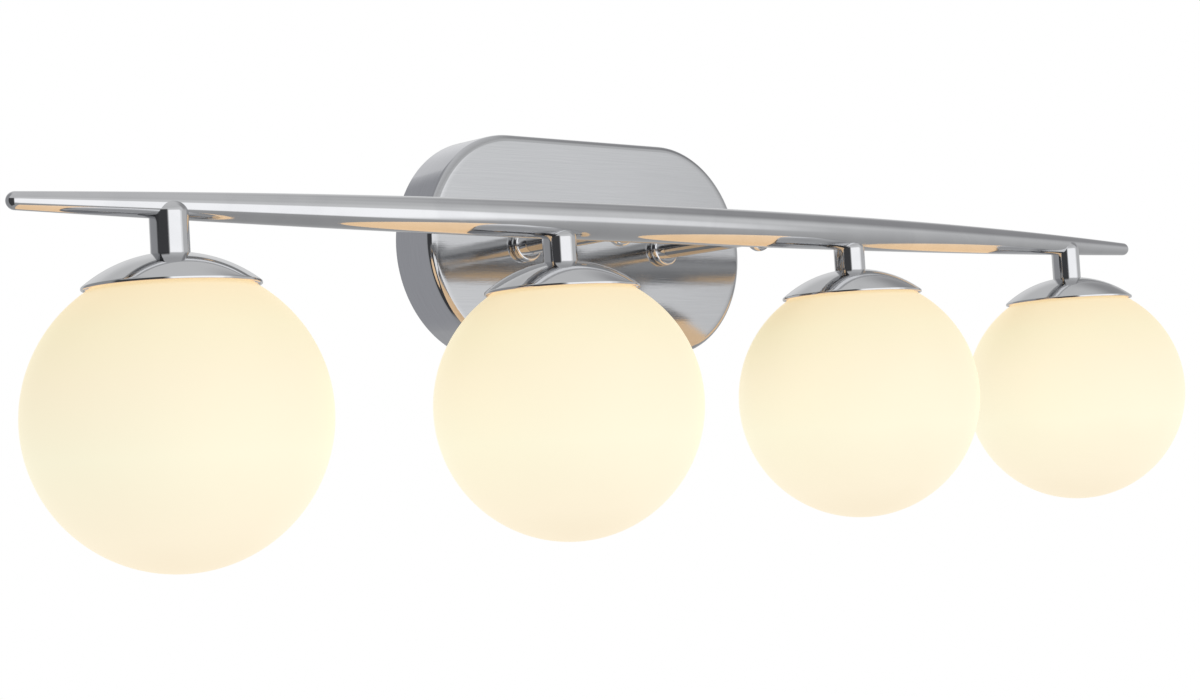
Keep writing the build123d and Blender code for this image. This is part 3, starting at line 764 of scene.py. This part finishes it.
porcelain_body.inputs["A"].default_value = (0.78, 0.76, 0.70, 1)
porcelain_body.inputs["B"].default_value = (0.90, 0.89, 0.85, 1)
porcelain_colour = add_node(
    porcelain_tree, "Mix", {"Factor": porcelain_spots.outputs["Result"]}, data_type="RGBA"
)
wire(porcelain_tree, porcelain_body.outputs["Result"], porcelain_colour.inputs["A"])
porcelain_colour.inputs["B"].default_value = (0.42, 0.38, 0.31, 1)
wire(porcelain_tree, porcelain_colour.outputs["Result"], porcelain_shader.inputs["Base Color"])
porcelain_gloss = add_node(
    porcelain_tree, "MapRange", {"Value": porcelain_pool.outputs["Fac"], "To Min": 0.12, "To Max": 0.3}
)
wire(porcelain_tree, porcelain_gloss.outputs["Result"], porcelain_shader.inputs["Roughness"])
porcelain_bump = add_node(
    porcelain_tree, "Bump",
    {"Height": porcelain_pool.outputs["Fac"], "Strength": 0.25, "Distance": 0.0003},
)
wire(porcelain_tree, porcelain_bump.outputs[0], porcelain_shader.inputs["Normal"])
finish_with(porcelain, *[f"bulb_socket_{number}" for number in lamps])

bronze, bronze_tree, bronze_shader = new_material("rolled_spring_bronze")
bronze_roll = place_group(bronze_tree, grain_group, Scale=(900, 900, 90), Contrast=1.3)
bronze_colour = add_node(bronze_tree, "Mix", {"Factor": bronze_roll.outputs[0]}, data_type="RGBA")
bronze_colour.inputs["A"].default_value = (0.52, 0.32, 0.18, 1)
bronze_colour.inputs["B"].default_value = (0.80, 0.56, 0.34, 1)
wire(bronze_tree, bronze_colour.outputs["Result"], bronze_shader.inputs["Base Color"])
bronze_dulling = add_node(
    bronze_tree, "MapRange", {"Value": bronze_roll.outputs[0], "To Min": 0.22, "To Max": 0.38}
)
wire(bronze_tree, bronze_dulling.outputs["Result"], bronze_shader.inputs["Roughness"])
bronze_bump = add_node(
    bronze_tree, "Bump", {"Height": bronze_roll.outputs[0], "Strength": 0.3, "Distance": 0.00004}
)
wire(bronze_tree, bronze_bump.outputs[0], bronze_shader.inputs["Normal"])
bronze_shader.inputs["Metallic"].default_value = 1.0
finish_with(bronze, "socket_contacts")

# ---------------------------------------------------------------------------------------------
# Wiring. Stranded copper in soft blue sleeving; the sleeving shows the strands' lay as a faint
# twist and has a slightly waxy skin.
sleeving, sleeving_tree, sleeving_shader = new_material("blue_wire_sleeving")
sleeving_place = add_node(sleeving_tree, "TexCoord")
sleeving_twist = add_node(
    sleeving_tree, "TexWave",
    {"Vector": sleeving_place.outputs["Object"], "Scale": 260.0, "Distortion": 1.5, "Detail": 1.0},
    wave_type="BANDS", bands_direction="DIAGONAL",
)
sleeving_cloud = add_node(
    sleeving_tree, "TexNoise",
    {"Vector": sleeving_place.outputs["Object"], "Scale": 600.0, "Detail": 3.0},
)
sleeving_colour = add_node(
    sleeving_tree, "Mix", {"Factor": sleeving_cloud.outputs["Fac"]}, data_type="RGBA"
)
sleeving_colour.inputs["A"].default_value = (0.03, 0.10, 0.36, 1)
sleeving_colour.inputs["B"].default_value = (0.07, 0.19, 0.52, 1)
wire(sleeving_tree, sleeving_colour.outputs["Result"], sleeving_shader.inputs["Base Color"])
sleeving_gloss = add_node(
    sleeving_tree, "MapRange", {"Value": sleeving_cloud.outputs["Fac"], "To Min": 0.32, "To Max": 0.5}
)
wire(sleeving_tree, sleeving_gloss.outputs["Result"], sleeving_shader.inputs["Roughness"])
sleeving_bump = add_node(
    sleeving_tree, "Bump",
    {"Height": sleeving_twist.outputs["Fac"], "Strength": 0.3, "Distance": 0.00008},
)
wire(sleeving_tree, sleeving_bump.outputs[0], sleeving_shader.inputs["Normal"])
finish_with(sleeving, "feed_wires", "bar_wires", "stem_wires")

# ---------------------------------------------------------------------------------------------
# Bulbs. A clear quartz capsule, blown round at the bottom and pinched flat over its two pins,
# which run on inside as the filament's leads.
glass, glass_tree, glass_shader = new_material("clear_quartz")
glass_place = add_node(glass_tree, "TexCoord")
glass_draw = add_node(
    glass_tree, "TexNoise",
    {"Vector": glass_place.outputs["Object"], "Scale": 160.0, "Detail": 2.0, "Distortion": 0.8},
)
glass_bump = add_node(
    glass_tree, "Bump", {"Height": glass_draw.outputs["Fac"], "Strength": 0.25, "Distance": 0.0002}
)
wire(glass_tree, glass_bump.outputs[0], glass_shader.inputs["Normal"])
glass_gloss = add_node(
    glass_tree, "MapRange", {"Value": glass_draw.outputs["Fac"], "To Min": 0.0, "To Max": 0.06}
)
wire(glass_tree, glass_gloss.outputs["Result"], glass_shader.inputs["Roughness"])
glass_tint = add_node(glass_tree, "Mix", {"Factor": glass_draw.outputs["Fac"]}, data_type="RGBA")
glass_tint.inputs["A"].default_value = (0.93, 0.95, 0.96, 1)
glass_tint.inputs["B"].default_value = (0.99, 0.99, 0.99, 1)
wire(glass_tree, glass_tint.outputs["Result"], glass_shader.inputs["Base Color"])
glass_shader.inputs["Transmission Weight"].default_value = 1.0
glass_shader.inputs["IOR"].default_value = 1.46
finish_with(glass, *[f"bulb_glass_{number}" for number in lamps])

pins, pins_tree, pins_shader = new_material("drawn_pin_wire")
pins_draw = place_group(pins_tree, grain_group, Scale=(2600, 2600, 160), Contrast=1.3)
pins_colour = add_node(pins_tree, "Mix", {"Factor": pins_draw.outputs[0]}, data_type="RGBA")
pins_colour.inputs["A"].default_value = (0.46, 0.44, 0.42, 1)
pins_colour.inputs["B"].default_value = (0.72, 0.70, 0.67, 1)
wire(pins_tree, pins_colour.outputs["Result"], pins_shader.inputs["Base Color"])
pins_dulling = add_node(
    pins_tree, "MapRange", {"Value": pins_draw.outputs[0], "To Min": 0.22, "To Max": 0.4}
)
wire(pins_tree, pins_dulling.outputs["Result"], pins_shader.inputs["Roughness"])
pins_shader.inputs["Metallic"].default_value = 1.0
filament_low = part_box("bulb_pins_1")[0].z
glow_full = filament_low + 0.002
glow_none = filament_low + 0.0035
pins_place = add_node(pins_tree, "TexCoord")
pins_split = add_node(pins_tree, "SeparateXYZ", {0: pins_place.outputs["Object"]})
pins_hot = add_node(
    pins_tree, "MapRange",
    {"Value": pins_split.outputs["Z"], "From Min": glow_none, "From Max": glow_full},
    interpolation_type="SMOOTHSTEP",
)
pins_glow = add_node(pins_tree, "Mix", {"Factor": pins_hot.outputs["Result"]}, data_type="RGBA")
pins_glow.inputs["A"].default_value = (0.0, 0.0, 0.0, 1)
pins_glow.inputs["B"].default_value = (1.0, 0.62, 0.24, 1)
wire(pins_tree, pins_glow.outputs["Result"], pins_shader.inputs["Emission Color"])
pins_shader.inputs["Emission Strength"].default_value = 6.0
finish_with(pins, *[f"bulb_pins_{number}" for number in lamps])

# ---------------------------------------------------------------------------------------------
# Globes. Blown opal glass, lit from inside: an even cream glow that warms towards the cap and the
# bottom. A painted reflection makes the glow a deeper gold only where chrome mirrors it. Each has a
# threaded mouth turned inwards and screws up into its holder.
globe_low, globe_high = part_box("globe_1")
globe_radius = (globe_high.x - globe_low.x) / 2
globe_lift = globe_low.z + globe_radius
mouth_radius = 0.0164
glass_wall = 0.0027
neck_wall = 0.0032
neck_depth = 0.0102
mouth_round = 0.0009
thread_start = 0.003
thread_pitch = 0.0024
thread_depth = 0.0007

opal, opal_tree, opal_shader = new_material("lit_opal_glass")
opal_place = add_node(opal_tree, "TexCoord")
opal_split = add_node(opal_tree, "SeparateXYZ", {0: opal_place.outputs["Object"]})
opal_height = add_node(
    opal_tree, "MapRange",
    {"Value": opal_split.outputs["Z"], "From Min": globe_low.z, "From Max": globe_high.z},
)
opal_cloud = add_node(
    opal_tree, "TexNoise",
    {"Vector": opal_place.outputs["Object"], "Scale": 34.0, "Detail": 3.0, "Roughness": 0.55},
)
opal_drift = add_node(
    opal_tree, "MapRange", {"Value": opal_cloud.outputs["Fac"], "To Min": -0.03, "To Max": 0.03}
)
opal_shifted = add_node(
    opal_tree, "Math", {0: opal_height.outputs["Result"], 1: opal_drift.outputs["Result"]},
    operation="ADD",
)
opal_glow = add_node(opal_tree, "ValToRGB", {"Fac": opal_shifted.outputs[0]})
opal_colours = {
    0.0: (0.795, 0.69, 0.505),
    0.12: (0.815, 0.725, 0.545),
    0.38: (0.785, 0.74, 0.55),
    0.62: (0.745, 0.665, 0.47),
    0.80: (0.70, 0.62, 0.40),
    0.93: (0.69, 0.56, 0.33),
}
while len(opal_glow.color_ramp.elements) < len(opal_colours):
    opal_glow.color_ramp.elements.new(0.5)
for stop, (place, colour) in zip(opal_glow.color_ramp.elements, sorted(opal_colours.items())):
    stop.position = place
    stop.color = (*colour, 1)
opal_rays = add_node(opal_tree, "LightPath")
# Painted reflection: glossy rays see the glow in a deeper gold than the eye does, so the chrome mirrors
# a gold the globe itself does not show.
opal_painted_reflection = add_node(
    opal_tree, "Mix", {"Factor": opal_rays.outputs["Is Glossy Ray"]}, data_type="RGBA"
)
wire(opal_tree, opal_glow.outputs["Color"], opal_painted_reflection.inputs["A"])
opal_painted_reflection.inputs["B"].default_value = (0.98, 0.64, 0.34, 1)
wire(opal_tree, opal_painted_reflection.outputs["Result"], opal_shader.inputs["Emission Color"])
opal_shader.inputs["Emission Strength"].default_value = 1.0
opal_body = add_node(opal_tree, "Mix", {"Factor": opal_cloud.outputs["Fac"]}, data_type="RGBA")
opal_body.inputs["A"].default_value = (0.42, 0.40, 0.35, 1)
opal_body.inputs["B"].default_value = (0.50, 0.475, 0.42, 1)
wire(opal_tree, opal_body.outputs["Result"], opal_shader.inputs["Base Color"])
opal_gloss = add_node(
    opal_tree, "MapRange", {"Value": opal_cloud.outputs["Fac"], "To Min": 0.38, "To Max": 0.5}
)
wire(opal_tree, opal_gloss.outputs["Result"], opal_shader.inputs["Roughness"])
opal_ripple = add_node(
    opal_tree, "Bump", {"Height": opal_cloud.outputs["Fac"], "Strength": 0.1, "Distance": 0.0004}
)
wire(opal_tree, opal_ripple.outputs[0], opal_shader.inputs["Normal"])
opal_shader.inputs["Specular IOR Level"].default_value = 0.12

shell_inside = globe_radius - glass_wall
neck_outer = mouth_radius + neck_wall
mouth_top = sqrt(globe_radius**2 - mouth_radius**2)
neck_bottom = mouth_top - neck_depth
neck_root = asin(sqrt(shell_inside**2 - neck_outer**2) / shell_inside)
globe_outline = arc((0, globe_lift), shell_inside, -pi / 2, neck_root, 40)
globe_outline[0] = (0.0, globe_lift - shell_inside)
neck_centre = (mouth_radius + neck_wall / 2, globe_lift + neck_bottom + neck_wall / 2)
globe_outline += arc(neck_centre, neck_wall / 2, 0, -pi, 10)
for turn in range(3):
    thread = (mouth_radius, globe_lift + neck_bottom + thread_start + turn * thread_pitch)
    globe_outline += arc(thread, thread_depth, -pi / 2, pi / 2, 6)
shoulder = asin(sqrt(globe_radius**2 - (mouth_radius + mouth_round) ** 2) / globe_radius)
lip_height = globe_lift + globe_radius * sin(shoulder) - mouth_round
globe_outline += arc((mouth_radius + mouth_round, lip_height), mouth_round, pi, pi / 2 + 0.35, 5)
globe_outline += arc((0, globe_lift), globe_radius, shoulder, -pi / 2, 64)
globe_outline[-1] = (0.0, globe_low.z)
for number in lamps:
    globe_bm = bmesh.new()
    turned(globe_bm, globe_outline, lamp_centre[number], "Z", 128)
    globe = mesh_piece(f"opal_globe_{number}", globe_bm, opal, radians(60))
    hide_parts(f"globe_{number}")
    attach(globe, f"globe_{number}")

# ---------------------------------------------------------------------------------------------
# Studio. A pale floor well below the light, soft panels in front, above and behind, and a world
# that is white to the eye but graded where the chrome mirrors it.
floor_size = 5.0
floor_height = -0.85
floor_bm = bmesh.new()
bmesh.ops.create_grid(floor_bm, x_segments=40, y_segments=40, size=floor_size)
floor_mesh = bpy.data.meshes.new("studio_floor")
floor_bm.to_mesh(floor_mesh)
floor_bm.free()
floor = bpy.data.objects.new("studio_floor", floor_mesh)
bpy.context.scene.collection.objects.link(floor)
floor.location.z = floor_height
floor_paint, floor_tree, floor_shader = new_material("pale_floor_paint")
floor_place = add_node(floor_tree, "TexCoord")
floor_cloud = add_node(floor_tree, "TexNoise", {"Vector": floor_place.outputs["Object"], "Scale": 3.0})
floor_colour = add_node(floor_tree, "Mix", {"Factor": floor_cloud.outputs["Fac"]}, data_type="RGBA")
floor_colour.inputs["A"].default_value = (0.90, 0.90, 0.90, 1)
floor_colour.inputs["B"].default_value = (0.95, 0.95, 0.95, 1)
wire(floor_tree, floor_colour.outputs["Result"], floor_shader.inputs["Base Color"])
floor_shader.inputs["Roughness"].default_value = 0.9
floor_shader.inputs["Emission Color"].default_value = (1, 1, 1, 1)
floor_shader.inputs["Emission Strength"].default_value = 0.75
floor.data.materials.append(floor_paint)
floor.visible_glossy = False
floor.visible_diffuse = False

world = bpy.data.worlds.new("studio")
bpy.context.scene.world = world
world.use_nodes = True
sky = world.node_tree
sky.nodes.clear()
sky_place = add_node(sky, "TexCoord")
sky_way = add_node(sky, "SeparateXYZ", {0: sky_place.outputs["Generated"]})
ahead = add_node(sky, "Math", {0: sky_way.outputs["Y"], 1: -1.0}, operation="MULTIPLY")
bearing = add_node(sky, "Math", {0: sky_way.outputs["X"], 1: ahead.outputs[0]}, operation="ARCTAN2")
rise = add_node(sky, "Math", {0: sky_way.outputs["Z"]}, operation="ARCSINE")


def between(value, low, high, soft):
    """A soft-edged mask that is one where a value lies between two angles, in degrees."""
    low, high, soft = radians(low), radians(high), radians(soft)
    enter = add_node(
        sky, "MapRange", {"Value": value, "From Min": low - soft, "From Max": low + soft},
        interpolation_type="SMOOTHSTEP",
    )
    leave = add_node(
        sky, "MapRange", {"Value": value, "From Min": high + soft, "From Max": high - soft},
        interpolation_type="SMOOTHSTEP",
    )
    return add_node(
        sky, "Math", {0: enter.outputs["Result"], 1: leave.outputs["Result"]}, operation="MULTIPLY"
    )


def patch(bearings, rises, soft):
    """A soft-edged patch of the surroundings; bearing 0 is straight out from the wall."""
    across = between(bearing.outputs[0], *bearings, soft)
    up = between(rise.outputs[0], *rises, soft)
    return add_node(sky, "Math", {0: across.outputs[0], 1: up.outputs[0]}, operation="MULTIPLY")


def lay_over(below, colour, mask):
    """One tone of the surroundings laid over what is below it, where the mask is one."""
    mixed = add_node(sky, "Mix", {"Factor": mask.outputs[0]}, data_type="RGBA")
    wire(sky, below, mixed.inputs["A"])
    mixed.inputs["B"].default_value = (*colour, 1)
    return mixed.outputs["Result"]


dome = add_node(sky, "ValToRGB")
dome_rise = add_node(
    sky, "MapRange", {"Value": rise.outputs[0], "From Min": -pi / 2, "From Max": pi / 2}
)
wire(sky, dome_rise.outputs["Result"], dome.inputs["Fac"])
dome_tones = {
    0.0: 0.40, 0.22: 0.40, 0.33: 0.45, 0.44: 0.55, 0.50: 0.60, 0.56: 0.66, 0.61: 0.78, 0.67: 0.78,
    0.73: 0.66, 1.0: 0.72,
}
while len(dome.color_ramp.elements) < len(dome_tones):
    dome.color_ramp.elements.new(0.5)
for stop, (place, tone) in zip(dome.color_ramp.elements, sorted(dome_tones.items())):
    stop.position = place
    stop.color = (tone, tone * 1.005, tone * 1.015, 1)
# From the back to the front: the dim room behind on each side, the dark space to the left of the
# light, the fading right edge of the white panel and the panel itself.
mirrored = lay_over(dome.outputs["Color"], (0.36, 0.36, 0.37), patch((64, 120), (16, 52), 12))
mirrored = lay_over(mirrored, (0.36, 0.365, 0.38), patch((-178, -104), (-60, 66), 12))
mirrored = lay_over(mirrored, (0.065, 0.066, 0.07), patch((-110, -38), (-60, 28), 6))
mirrored = lay_over(mirrored, (1.08, 1.085, 1.10), patch((20, 48), (-7, 15), 5))
mirrored = lay_over(mirrored, (1.36, 1.365, 1.385), patch((-34, 37), (-30, 19), 3.5))
eye = add_node(sky, "LightPath")
soft_fill = add_node(
    sky, "Mix", {"Factor": eye.outputs["Is Glossy Ray"]}, data_type="RGBA"
)
soft_fill.inputs["A"].default_value = (0.32, 0.32, 0.33, 1)
wire(sky, mirrored, soft_fill.inputs["B"])
seen = add_node(sky, "Mix", {"Factor": eye.outputs["Is Camera Ray"]}, data_type="RGBA")
wire(sky, soft_fill.outputs["Result"], seen.inputs["A"])
seen.inputs["B"].default_value = (1, 1, 1, 1)
backdrop = add_node(sky, "Background", {"Color": seen.outputs["Result"], "Strength": 1.0})
sky_output = add_node(sky, "OutputWorld")
wire(sky, backdrop.outputs[0], sky_output.inputs["Surface"])


def soft_panel(name, place, aim, width, height, power):
    """A broad area light that lights the pieces but never shows or mirrors."""
    data = bpy.data.lights.new(name, "AREA")
    data.shape = "RECTANGLE"
    data.size, data.size_y = width, height
    data.energy = power
    panel = bpy.data.objects.new(name, data)
    bpy.context.scene.collection.objects.link(panel)
    panel.location = place
    panel.rotation_euler = (Vector(aim) - Vector(place)).to_track_quat("-Z", "Y").to_euler()
    panel.visible_glossy = False
    panel.visible_camera = False
    return panel


soft_panel("front_panel", (0.2, -2.2, 0.5), (0, 0, 0), 1.6, 1.0, 10)
soft_panel("top_panel", (-0.6, -0.6, 1.8), (0, 0, 0), 1.2, 1.2, 6)
soft_panel("back_panel", (0.6, 1.8, 0.6), (0, 0, 0), 1.2, 1.2, 6)

# Camera: below the bar's left end, looking up and across it.
camera_place = Vector((-0.63956, -0.70704, -0.0966))
camera_lens = 67.764
yaw, pitch, roll = 0.7505, 0.0572, 0.0603
forward = Vector((sin(yaw) * cos(pitch), cos(yaw) * cos(pitch), sin(pitch)))
level_right = Vector((cos(yaw), -sin(yaw), 0))
level_down = forward.cross(level_right)
right = level_right * cos(roll) + level_down * sin(roll)
down = -level_right * sin(roll) + level_down * cos(roll)
camera_data = bpy.data.cameras.new("camera")
camera_data.lens = camera_lens
camera_data.sensor_width = 36.0
camera = bpy.data.objects.new("camera", camera_data)
bpy.context.scene.collection.objects.link(camera)
camera.matrix_world = Matrix.Translation(camera_place) @ Matrix(
    (
        (right.x, -down.x, -forward.x),
        (right.y, -down.y, -forward.y),
        (right.z, -down.z, -forward.z),
    )
).to_4x4()
bpy.context.scene.camera = camera
bpy.context.scene.view_settings.view_transform = "Standard"
